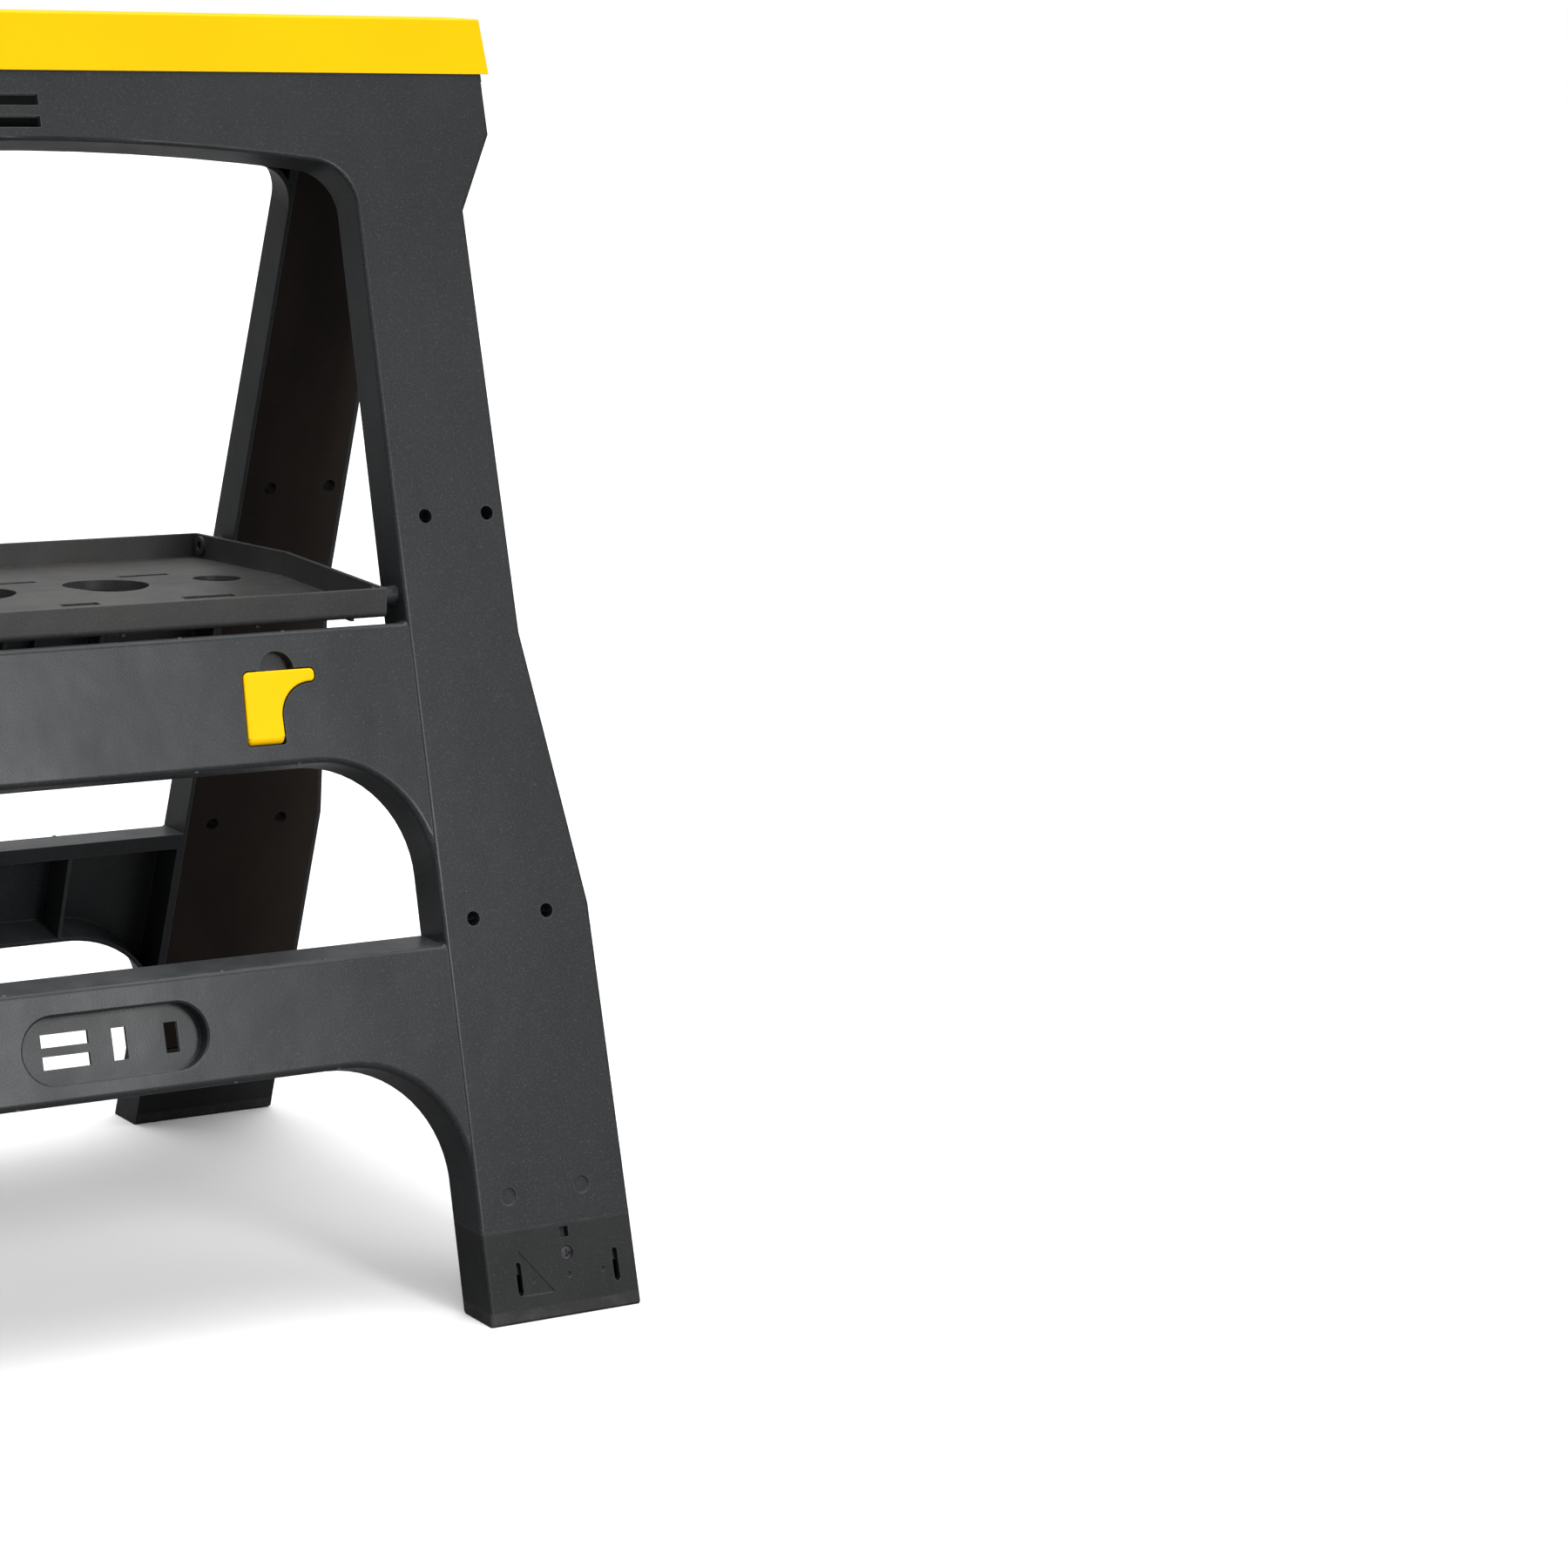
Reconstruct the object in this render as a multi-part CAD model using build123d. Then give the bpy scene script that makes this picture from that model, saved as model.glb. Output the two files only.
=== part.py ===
from build123d import *
import os
from math import atan, cos, sin, tan

os.makedirs("parts", exist_ok=True)

# Folding sawhorse, moulded plastic. Two leaning frames hang on one hinge rod under the top caps,
# and a two-leaf tray joins them half way down. X runs along the top, Y from front to back, Z up.
# The origin is on the floor under the middle. The front frame (-Y) is modelled here, and the back
# frame is the same set of parts turned half round about Z.

# ---------------------------------------------------------------- driving dimensions, mm
HEIGHT = 800.0  # floor to the top of the caps
BASE_DEPTH = 550.0  # across the feet
TOP_DEPTH = 46.8  # across the outer faces of the two frames at the very top
FOOT_THICKNESS = 34.0  # frame thickness at the floor, square to the outer face
FOLDED_GAP = 1.6  # between the two frames when folded
WALL = 3.0  # moulded skin, flanges
RIB = 2.4  # stiffening ribs
FIT = 0.05  # radial clearance of every pin, rod and screw in its hole
PLAY = 0.3  # clearance between parts that slide or nest
EDGE_R = 2.5  # rounding of the edges round the outer faces
BAR_EDGE_R = 4.0  # and round the faces of the bars
BAR_INSET = 0.9  # the two bars lie this far behind the faces of the legs
RIDGE = 2.5  # wall behind pockets and recesses

LEAN = atan((BASE_DEPTH - TOP_DEPTH) / 2 / HEIGHT)  # outer face from the vertical
HINGE_Z = 785.0  # hinge rod between the frames
HINGE_ROD_R = 3.0
KNUCKLE_R = 6.2
KNUCKLE_LENGTH = 20.0
HINGE_STATIONS = (-300.0, -105.0, 105.0, 300.0)

# outline of a frame: half widths at heights on its outer face
BEAM_HALF = 337.7  # ends of the top beam
SHOULDER_Z = 727.0  # where the beam ends start to slope in
NOTCH_HALF = 311.5
NOTCH_Z = 679.0
FLARE_TOP_Z = 416.0  # where the legs start to flare out
LEG_HALF = 336.0  # outer edge of the legs at the feet
FLARE_LOW_Z = 246.7
LEG_INNER_HALF = 225.5  # inner edge of the legs at the floor
LEG_INNER_SLOPE = 0.012  # and how much it moves out with height
ARCH_APEX_Z = 723.5  # under the top beam, at the middle
ARCH_END_Z = 707.8  # and at the legs
ARCH_CORNER_R = 30.0
MID_BAR_Z = (346.8, 427.0)
MID_CORNER_R = 74.0
LOW_BAR_Z = (164.9, 231.0)
LOW_CORNER_R = 78.0
SMALL_CORNER_R = 3.0

# caps
CAP_LENGTH = 685.0
CAP_TOP_LENGTH = 680.4  # the ends draw in towards the top
CAP_LOW_Z = 765.0
CAP_PROUD = 1.2  # of the frame's outer face
CAP_WALL = 3.2
CAP_LIP_Z = 792.5  # lower edge of the inner lip, over the hinge
CAP_SCREW_X = (-300.0, -180.0, -60.0, 60.0, 180.0, 300.0)
CAP_SCREW_Y = -12.5
CAP_SCREW_R = 1.9
CAP_SCREW_HEAD = (3.8, 2.0)  # radius and depth of the countersunk head
CAP_SCREW_DRIVE = (5.0, 0.9, 1.0)  # length, width and depth of the cross
CAP_SCREW_BELOW = 0.3  # heads lie this far under the surface
CAP_SCREW_LENGTH = 18.0
CAP_SPLIT = 0.3  # half the gap between the caps
CAP_SEAT = 0.2  # air between cap and frame
CAP_EDGE_R = 2.0
CAP_BOSS = (4.5, 18.0)  # radius and length

# feet
SEAM_Z = 55.8  # joint between leg and foot
SOLE_Z = 8.0  # top of the rubber sole
SOLE_CHAMFER = 1.5
FOOT_WALL = 4.0
FOOT_FLOOR = 8.0  # thickness over the sole
FOOT_SCREW = (285.6, 37.7)  # X and height
FOOT_SCREW_R = 1.95
FOOT_SCREW_HEAD_R = 4.3
FOOT_SCREW_SUNK = (0.4, 2.4)  # depth of the head's two faces
FOOT_SCREW_DRIVE = (4.4, 1.1)  # length and width of the cross
TONGUE_LENGTH = 28.0
FOOT_SLOTS = ((249.5, 26.4), (320.5, 26.4))
FOOT_SLOT = (21.0, 4.2)
FOOT_WINDOW = (285.4, 50.6)
FOOT_WINDOW_SIDE = 6.5
FOOT_DOTS = ((259.5, 24.5), (285.6, 24.9), (310.5, 25.1))
FOOT_DOT = (1.8, 1.0)  # radius and depth
FOOT_RELIEF = ((250.9, 43.4), (274.0, 16.0), (250.9, 16.0))  # corners of a shallow triangle
FOOT_RELIEF_DEPTH = 0.7

# leg holes and marks, as X and height on the outer face
LEG_HOLES = ((253.4, 490.4), (298.6, 490.4), (250.0, 244.5), (303.9, 244.6))
LEG_HOLE_R = 4.6
LEG_DIMPLES = ((249.0, 76.5), (302.9, 77.2))
DIMPLE_R = 5.5
DIMPLE_DEPTH = 1.2
COVER_THICKNESS = 2.5
COVER_Z = (60.0, 700.0)

# slots in the top beam and the recess in the lower bar
BEAM_SLOT = (43.0, 7.0)
BEAM_SLOT_Z = (747.3, 734.2)
RECESS = (122.0, 41.0)  # length and width
RECESS_X = -4.0
RECESS_Z = 196.1
RECESS_DEPTH = 12.0
RECESS_LIP = 1.2  # bevel round its mouth
LEVEL_SLOT = (31.0, 7.8)  # two lying slots, one over the other
LEVEL_SLOT_X = -32.7
LEVEL_SLOT_RISE = 6.65  # from the middle of the recess
UPRIGHT_SLOTS = ((3.0, 9.5, 19.6), (37.6, 9.0, 18.7))  # X, width and height
RIB_X = (-143.0, -72.0, 72.0, 143.0)

# cord hooks, for the right-hand hook of the front frame
HOOK_LEFT = 109.0
HOOK_NECK = 134.5
HOOK_TIP = 160.0
HOOK_LOW_Z = 360.0
HOOK_TOP_Z = 403.3
HOOK_THICKNESS = 8.0
HOOK_CURVE_R = 22.0
HOOK_GAP = 0.9
HOOK_PIN_R = 1.5
HOOK_PIN_OVER = 4.0  # reach of the pin on both sides of the heel
HOOK_HORN = 8.0  # thickness of the horn
HOOK_EDGE_R = 1.2
HOOK_POCKET_WALL = (6.0, 5.0, 3.0)  # round the hook: left and below, right, above
SCOOP_X = 134.6
SCOOP_R = 12.0

# tray
TRAY_HALF = 219.0  # half length along X
TRAY_EDGE_Y = 134.2  # outer wall
TRAY_PIVOT = (-122.0, 441.0)  # Y and Z of the pins in the front legs
TRAY_PIVOT_R = 3.0
TRAY_MID_Z = 424.0  # pin between the leaves
TRAY_MID_R = 2.0
TRAY_KNUCKLE_R = 4.5
TRAY_KNUCKLE_LENGTH = 10.0
TRAY_STATIONS = (-205.0, -138.0, -46.0, 46.0, 138.0, 205.0)
TRAY_WALL = 2.8
TRAY_SPACER_R = 6.0  # bosses on the legs beside the tray
TRAY_SPACER_GAP = 0.8
TRAY_BOSS = (6.3, 4.5)  # radius, and reach from the end of the tray
TRAY_CORNER_R = 4.0
TRAY_RIB_DROP = 3.0
TRAY_RIM_Z = 448.0  # top of the outer wall
TRAY_FLOOR_Z = 431.8  # floor at the outer wall
TRAY_PEAK = 5.0  # rise of the floor and rim to the middle
TRAY_SPLIT = 0.3  # half the gap between the leaves
TRAY_HOLES = ((-173.0, 16.0), (-93.0, 28.0), (0.0, 28.0), (93.0, 28.0), (173.0, 16.0))  # X, radius
TRAY_HOLE_Y = 12.0
TRAY_COLLAR_Z = 428.8
TRAY_SLOTS = ((-137.0, 36.0), (-47.0, 26.0), (47.0, 26.0), (137.0, 36.0))  # X, length
TRAY_SLOT_Y = 48.0
TRAY_SLOT_WIDTH = 8.0

# ---------------------------------------------------------------- frame geometry
FAR = 60.0  # deeper than any frame
BELOW = -30.0  # below the floor, trimmed off later
FACE = Plane(origin=(0, -BASE_DEPTH / 2, 0), x_dir=(1, 0, 0), z_dir=(0, -cos(LEAN), sin(LEAN)))
INWARD = -FACE.z_dir
HANGING = (Align.CENTER, Align.CENTER, Align.MAX)  # a solid that hangs down from its origin
FRAME_TOP_Z = HEIGHT - CAP_WALL - 0.2
CAP_INSET = 2.0  # how far the frame steps in under the cap

HALF_GAP = FOLDED_GAP / 2
FOLD_TAN = (BASE_DEPTH / 2 - FOOT_THICKNESS / cos(LEAN) - HALF_GAP) / HINGE_Z
FOLD = atan(FOLD_TAN)  # each frame turns by this to stand upright


def up(height):
    """Distance up the outer face of a point at this height above the floor."""
    return height / cos(LEAN)


def face_y(height, out=0.0):
    """Y of the front frame's outer face, or of a face parallel to it."""
    return -(TOP_DEPTH / 2 + (HEIGHT - height) * tan(LEAN) + out / cos(LEAN))


def inner_y(height, inset=0.0):
    """Y of the front frame's inner face, or of a face parallel to it and further out."""
    return -(HALF_GAP + inset) / cos(FOLD) - (HINGE_Z - height) * FOLD_TAN


def leg_edge(height):
    return LEG_INNER_HALF + LEG_INNER_SLOPE * height


def slab(outline, x_from, x_to):
    """Prism along X with an outline of (Y, Z) points."""
    section = Plane.YZ.offset(x_from) * Polygon(*outline, align=None)
    return extrude(section, amount=x_to - x_from, dir=(1, 0, 0))


def sink(sketch, start, end):
    """Solid of a sketch on the outer face, between two depths under that face."""
    return extrude(FACE.offset(-start) * sketch, amount=end - start, dir=INWARD)


def sink_rounded(sketch, start, radius=EDGE_R):
    """Solid of a sketch from one depth inwards, with the edges of its outer face rounded."""
    solid = sink(sketch, start, FAR)
    outer = solid.faces().sort_by(Axis((0, 0, 0), FACE.z_dir))[-1]
    return fillet(outer.edges(), radius)


def on_face(spot):
    """Place on the outer face at an X and a height above the floor."""
    return Pos(spot[0], up(spot[1]))


def rod(radius, x_from, x_to, y, z):
    """Round bar along X."""
    return Plane.YZ.offset(x_from) * Pos(y, z, (x_to - x_from) / 2) * Cylinder(radius, x_to - x_from)


def mirrored(part):
    """The part and its mirror image in the plane X = 0."""
    return part + mirror(part, Plane.YZ)


def to_back(part):
    return part.rotate(Axis.Z, 180)


def right_outline():
    """Outer edge of the right half, from the top down."""
    return [
        (BEAM_HALF, up(FRAME_TOP_Z)),
        (BEAM_HALF, up(SHOULDER_Z)),
        (NOTCH_HALF, up(NOTCH_Z)),
        (NOTCH_HALF, up(FLARE_TOP_Z)),
        (LEG_HALF, up(FLARE_LOW_Z)),
        (LEG_HALF, up(BELOW)),
    ]


def whole_outline():
    right = right_outline()
    left = [(-x, s) for x, s in reversed(right)]
    return Polygon(*right, *left, align=None)


def leg_strip():
    """Right leg from the floor to the top."""
    inner = [(leg_edge(BELOW), up(BELOW)), (leg_edge(FRAME_TOP_Z), up(FRAME_TOP_Z))]
    return Polygon(*right_outline(), *inner, align=None)


def between_legs(low, high, margin=0.0):
    """Zone between the legs from one height to another."""
    right = [(leg_edge(low) - margin, up(low)), (leg_edge(high) - margin, up(high))]
    left = [(-x, s) for x, s in reversed(right)]
    return Polygon(*right, *left, align=None)


def rounded_ends(sketch, end, radius):
    """Round the two corners at the top (-1) or the bottom (0) of a sketch."""
    return fillet(sketch.vertices().group_by(Axis.Y)[end], radius)


def openings():
    """The arch, the gap between the bars, and the gap under the lower bar."""
    low, high = MID_BAR_Z[1], ARCH_END_Z
    ends = [(-leg_edge(high), up(high)), (leg_edge(high), up(high))]
    arch = ThreePointArc(ends[0], (0, up(ARCH_APEX_Z)), ends[1])
    sides = Polyline(ends[1], (leg_edge(low), up(low)), (-leg_edge(low), up(low)), ends[0])
    top = make_face([arch, sides])
    top = rounded_ends(rounded_ends(top, -1, ARCH_CORNER_R), 0, SMALL_CORNER_R)
    middle = between_legs(LOW_BAR_Z[1], MID_BAR_Z[0])
    middle = rounded_ends(rounded_ends(middle, -1, MID_CORNER_R), 0, SMALL_CORNER_R)
    bottom = rounded_ends(between_legs(BELOW, LOW_BAR_Z[0]), -1, LOW_CORNER_R)
    return [top, middle, bottom]


def envelope():
    """Side profile of a frame: leaning outer face, inner face, step under the cap."""
    step = CAP_LOW_Z - CAP_SEAT
    lip = CAP_LIP_Z - 3 * PLAY
    lip_y = -(CAP_WALL + PLAY)
    outline = [
        (face_y(SEAM_Z, 1), SEAM_Z),
        (face_y(step, 1), step),
        (face_y(step, -CAP_INSET), step),
        (face_y(FRAME_TOP_Z, -CAP_INSET), FRAME_TOP_Z),
        (lip_y, FRAME_TOP_Z),
        (lip_y, lip),
        (inner_y(HINGE_Z), lip),
        (inner_y(HINGE_Z), HINGE_Z),
        (inner_y(SEAM_Z), SEAM_Z),
    ]
    return slab(outline, -CAP_LENGTH / 2, CAP_LENGTH / 2)


# ---------------------------------------------------------------- frame details
def hook_outline():
    """Right-hand hook seen on the outer face: a tongue with a horn at its free end."""
    low, high = up(HOOK_LOW_Z), up(HOOK_TOP_Z)
    horn = high - HOOK_HORN
    curve_x = HOOK_NECK + HOOK_CURVE_R
    bend = TangentArc((HOOK_NECK, horn - HOOK_CURVE_R), (curve_x, horn), tangent=(0, 1))
    back = Polyline((curve_x, horn), (HOOK_TIP, horn), (HOOK_TIP, high), (HOOK_LEFT + 2, high),
                    (HOOK_LEFT, low), (HOOK_NECK, low), (HOOK_NECK, horn - HOOK_CURVE_R))
    shape = make_face([bend, back])
    shape = fillet([v for v in shape.vertices() if v.Y < low + 1], 1.5)
    shape = fillet([v for v in shape.vertices() if v.X < HOOK_LEFT + 3 and v.Y > high - 1], 4.0)
    return fillet([v for v in shape.vertices() if v.X > HOOK_TIP - 1], 3.0)


def hook_axis():
    """Y and Z of the hook's pin."""
    middle = FACE.offset(-HOOK_THICKNESS / 2)
    point = middle.from_local_coords((0, up(HOOK_LOW_Z) + HOOK_THICKNESS / 2, 0))
    return point.Y, point.Z


def cord_hook():
    """Flat hook with a round heel on its pin."""
    y, z = hook_axis()
    low = up(HOOK_LOW_Z)
    thick = HOOK_THICKNESS
    blank = sink(hook_outline(), 0, thick)
    outer = blank.faces().sort_by(Axis((0, 0, 0), FACE.z_dir))[-1]
    blank = fillet(outer.edges(), HOOK_EDGE_R)
    heel_zone = Pos(HOOK_NECK, low + thick / 4) * Rectangle(2 * HOOK_TIP, thick / 2)
    blank -= sink(heel_zone, -1, thick + 1)
    heel = rod(thick / 2, HOOK_LEFT + 0.3, HOOK_NECK - 0.1, y, z)
    heel = fillet(heel.edges().filter_by(GeomType.CIRCLE), 2.5)
    return blank + heel - rod(HOOK_PIN_R + FIT, HOOK_LEFT - 5, HOOK_TIP, y, z)


def hook_pin():
    y, z = hook_axis()
    return rod(HOOK_PIN_R, HOOK_LEFT - HOOK_PIN_OVER, HOOK_NECK + HOOK_PIN_OVER, y, z)


def hook_pocket(shell):
    """Moulded cup behind the outer face for the hook, with a finger scoop above it."""
    y, z = hook_axis()
    low, high = up(HOOK_LOW_Z), up(HOOK_TOP_Z)
    left, right, above = HOOK_POCKET_WALL
    x_low, x_high = HOOK_LEFT - left, HOOK_TIP + right
    s_low, s_high = low - left, high + SCOOP_R + above
    block = Pos((x_low + x_high) / 2, (s_low + s_high) / 2) * Rectangle(x_high - x_low, s_high - s_low)
    floor = HOOK_THICKNESS + HOOK_GAP
    shell += mirrored(sink(block, BAR_INSET + WALL / 2, floor + RIDGE))
    hook_room = offset(hook_outline(), HOOK_GAP)
    scoop = Pos(SCOOP_X, high) * Circle(SCOOP_R)
    scoop -= Pos(SCOOP_X, high - SCOOP_R) * Rectangle(2 * SCOOP_R, 2 * SCOOP_R)
    shell -= mirrored(sink(hook_room + scoop, -1, floor))
    reach = HOOK_PIN_OVER + PLAY
    return shell - mirrored(rod(HOOK_PIN_R + FIT, HOOK_LEFT - reach, HOOK_NECK + reach, y, z))


def bar_recess(shell):
    """Stadium recess in the lower bar, with slots through its floor."""
    length, width = RECESS
    middle = on_face((RECESS_X, RECESS_Z))
    cup = middle * SlotOverall(length + 2 * RIDGE, width + 2 * RIDGE)
    shell += sink(cup, BAR_INSET + WALL / 2, RECESS_DEPTH + RIDGE)
    hollow = sink(middle * SlotOverall(length, width), BAR_INSET - 1, RECESS_DEPTH)
    mouth = middle * SlotOverall(length + 2 * RECESS_LIP, width + 2 * RECESS_LIP)
    bevel = extrude(FACE.offset(-BAR_INSET) * mouth, amount=RECESS_LIP, dir=INWARD, taper=45)
    shell -= hollow + bevel
    for rise in (-LEVEL_SLOT_RISE, LEVEL_SLOT_RISE):
        slot = Pos(LEVEL_SLOT_X, up(RECESS_Z) + rise) * Rectangle(*LEVEL_SLOT)
        shell -= sink(slot, 0, FAR)
    for x, slot_width, height in UPRIGHT_SLOTS:
        shell -= sink(on_face((x, RECESS_Z)) * Rectangle(slot_width, height), 0, FAR)
    return shell


def leg_holes(depth):
    marks = [on_face(spot) * Circle(LEG_HOLE_R) for spot in LEG_HOLES]
    return mirrored(sum((sink(mark, -1, depth) for mark in marks), Part()))


def leg_tubes():
    """Tubes round the leg holes, from the skin to the cover."""
    marks = [on_face(spot) * Circle(LEG_HOLE_R + WALL) for spot in LEG_HOLES]
    return mirrored(sum((sink(mark, WALL / 2, FAR) for mark in marks), Part()))


def dimples():
    marks = [on_face(spot) * Circle(DIMPLE_R) for spot in LEG_DIMPLES]
    return mirrored(sum((sink(mark, -1, DIMPLE_DEPTH) for mark in marks), Part()))


def cover_zone(outer=0.0, inner=COVER_THICKNESS):
    """Layer behind the inner face that the leg covers fill."""
    low, high = COVER_Z
    outline = [
        (inner_y(low, outer), low),
        (inner_y(high, outer), high),
        (inner_y(high, inner), high),
        (inner_y(low, inner), low),
    ]
    return slab(outline, -CAP_LENGTH / 2, CAP_LENGTH / 2)


def knuckles(shell):
    """Hinge eyes on webs, on the left of each station; the other frame's eyes are on the right."""
    half = CAP_LENGTH / 2
    shell -= rod(KNUCKLE_R + 0.6, -half, half, 0, HINGE_Z)
    lip_y = -(CAP_WALL + PLAY)
    web = [
        (face_y(FRAME_TOP_Z - 1, -WALL - 1), FRAME_TOP_Z - 1),
        (face_y(HINGE_Z - 17, -WALL - 1), HINGE_Z - 17),
        (inner_y(HINGE_Z - 6), HINGE_Z - 6),
        (inner_y(HINGE_Z), HINGE_Z),
        (inner_y(HINGE_Z), HINGE_Z + 5),
        (lip_y, HINGE_Z + 5),
        (lip_y, FRAME_TOP_Z - 1),
    ]
    for station in HINGE_STATIONS:
        low, high = station - KNUCKLE_LENGTH, station - PLAY
        shell += slab(web, low, high)
        shell += rod(KNUCKLE_R, low, high, 0, HINGE_Z)
    return shell - rod(HINGE_ROD_R + FIT, -half, half, 0, HINGE_Z)


def cap_bosses():
    boss = Part()
    for x in CAP_SCREW_X:
        boss += Pos(x, CAP_SCREW_Y, FRAME_TOP_Z - CAP_BOSS[1] / 2) * Cylinder(*CAP_BOSS)
    return boss


def screw_holes(radius, low, high):
    """Upright holes for the cap screws."""
    holes = Part()
    for x in CAP_SCREW_X:
        holes += Pos(x, CAP_SCREW_Y, (low + high) / 2) * Cylinder(radius, high - low)
    return holes


def foot_tongue():
    """Hollow tongue under the leg's end plate, which the foot slips over."""
    clear = FOOT_WALL + PLAY
    low, high = SEAM_Z - TONGUE_LENGTH, SEAM_Z + 0.5
    x_low, x_high = leg_edge(SEAM_Z) + clear + 0.5, LEG_HALF - clear
    outer = [
        (face_y(low, -clear), low),
        (face_y(high, -clear), high),
        (inner_y(high, clear), high),
        (inner_y(low, clear), low),
    ]
    inner = [
        (face_y(low - 1, -clear - WALL), low - 1),
        (face_y(SEAM_Z - 3, -clear - WALL), SEAM_Z - 3),
        (inner_y(SEAM_Z - 3, clear + WALL), SEAM_Z - 3),
        (inner_y(low - 1, clear + WALL), low - 1),
    ]
    tongue = slab(outer, x_low, x_high) - slab(inner, x_low + WALL, x_high - WALL)
    plate = [
        (face_y(SEAM_Z), SEAM_Z),
        (face_y(SEAM_Z + WALL), SEAM_Z + WALL),
        (inner_y(SEAM_Z + WALL), SEAM_Z + WALL),
        (inner_y(SEAM_Z), SEAM_Z),
    ]
    plate = slab(plate, leg_edge(SEAM_Z) + 1, LEG_HALF - 1)
    pilot = sink(on_face(FOOT_SCREW) * Circle(FOOT_SCREW_R + FIT), 0, 20)
    return mirrored(tongue + plate - pilot)


def tray_boss():
    """Round boss on the leg's inner edge that spaces the tray."""
    y, z = TRAY_PIVOT
    return mirrored(rod(TRAY_SPACER_R, TRAY_HALF + TRAY_SPACER_GAP, leg_edge(z) + WALL, y, z))


def tray_boss_bore():
    y, z = TRAY_PIVOT
    return mirrored(rod(TRAY_PIVOT_R + FIT, TRAY_HALF, leg_edge(z) + 8, y, z))


def frame_skin():
    """Solid frame with rounded edges: legs and top beam, and the two bars a little behind them."""
    top, middle, bottom = openings()
    overlap = 10.0
    low, high = SEAM_Z, MID_BAR_Z[1] + overlap
    legs_and_beam = whole_outline() - top - between_legs(BELOW, high)
    bars = between_legs(low, high, -overlap) - top - middle - bottom
    skin = sink_rounded(legs_and_beam, 0)
    for bar in bars.faces():
        skin += sink_rounded(bar, BAR_INSET, BAR_EDGE_R)
    return skin


def frame_hollow():
    """Space inside the flanges, open to the inner side."""
    space = between_legs(BELOW, FRAME_TOP_Z - WALL, WALL)
    for hole in openings():
        space -= offset(hole, WALL)
    leg_space = offset(leg_strip(), -WALL, kind=Kind.INTERSECTION)
    return sink(space, WALL + BAR_INSET, FAR + 1) + mirrored(sink(leg_space, WALL, FAR + 1))


def level_top():
    """Wedge on the lower bar that makes its top level when the sawhorse stands open."""
    start = BAR_INSET + BAR_EDGE_R
    edge = FACE.offset(-start).from_local_coords((0, up(LOW_BAR_Z[1]), 0))
    low = edge.Z - FOOT_THICKNESS * sin(LEAN)
    wedge = [(edge.Y, edge.Z), (inner_y(edge.Z), edge.Z), (inner_y(low), low), (edge.Y, edge.Z - WALL / 2)]
    reach = leg_edge(edge.Z) + WALL / 2
    return slab(wedge, -reach, reach)


def ribs():
    region = whole_outline()
    for hole in openings():
        region -= hole
    strips = Part()
    for x in RIB_X:
        strip = Pos(x, up(HEIGHT / 2)) * Rectangle(RIB, up(HEIGHT) + 60)
        strips += sink(strip & region, BAR_INSET + WALL / 2, FAR)
    return strips


def cap_band():
    """Stepped-in wall under the cap's skirt."""
    low = CAP_LOW_Z - 5
    outer, inner = -CAP_INSET + 1, -CAP_INSET - WALL
    band = [(face_y(low, outer), low), (face_y(FRAME_TOP_Z, outer), FRAME_TOP_Z)]
    band += [(face_y(FRAME_TOP_Z, inner), FRAME_TOP_Z), (face_y(low, inner), low)]
    return slab(band, -BEAM_HALF, BEAM_HALF)


def frame_panel():
    """Leaning frame: skin, flanges round every edge, and ribs, open to the inside."""
    shell = frame_skin() - frame_hollow()
    shell += ribs() + level_top() + cap_band() + leg_tubes()
    shell &= envelope()
    shell -= cover_slot()
    shell = knuckles(shell)
    shell += cap_bosses()
    shell -= screw_holes(CAP_SCREW_R + FIT, HEIGHT - CAP_SCREW_LENGTH - 4, HEIGHT)
    shell += foot_tongue() + tray_boss()
    shell -= leg_holes(FAR) + tray_boss_bore() + dimples()
    for z in BEAM_SLOT_Z:
        shell -= sink(on_face((0, z)) * Rectangle(*BEAM_SLOT), -1, FAR)
    return hook_pocket(bar_recess(shell))


def cover_slot():
    """Room that the leg covers take out of the tubes and ribs."""
    space = offset(leg_strip(), -WALL, kind=Kind.INTERSECTION)
    return mirrored(sink(space, 0, FAR)) & cover_zone(-2.0, COVER_THICKNESS + 0.2)


def leg_cover():
    """Flat cover that closes the right leg from the inside."""
    space = offset(leg_strip(), -WALL - PLAY, kind=Kind.INTERSECTION)
    return (sink(space, 0, FAR) & cover_zone()) - leg_holes(FAR)


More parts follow.
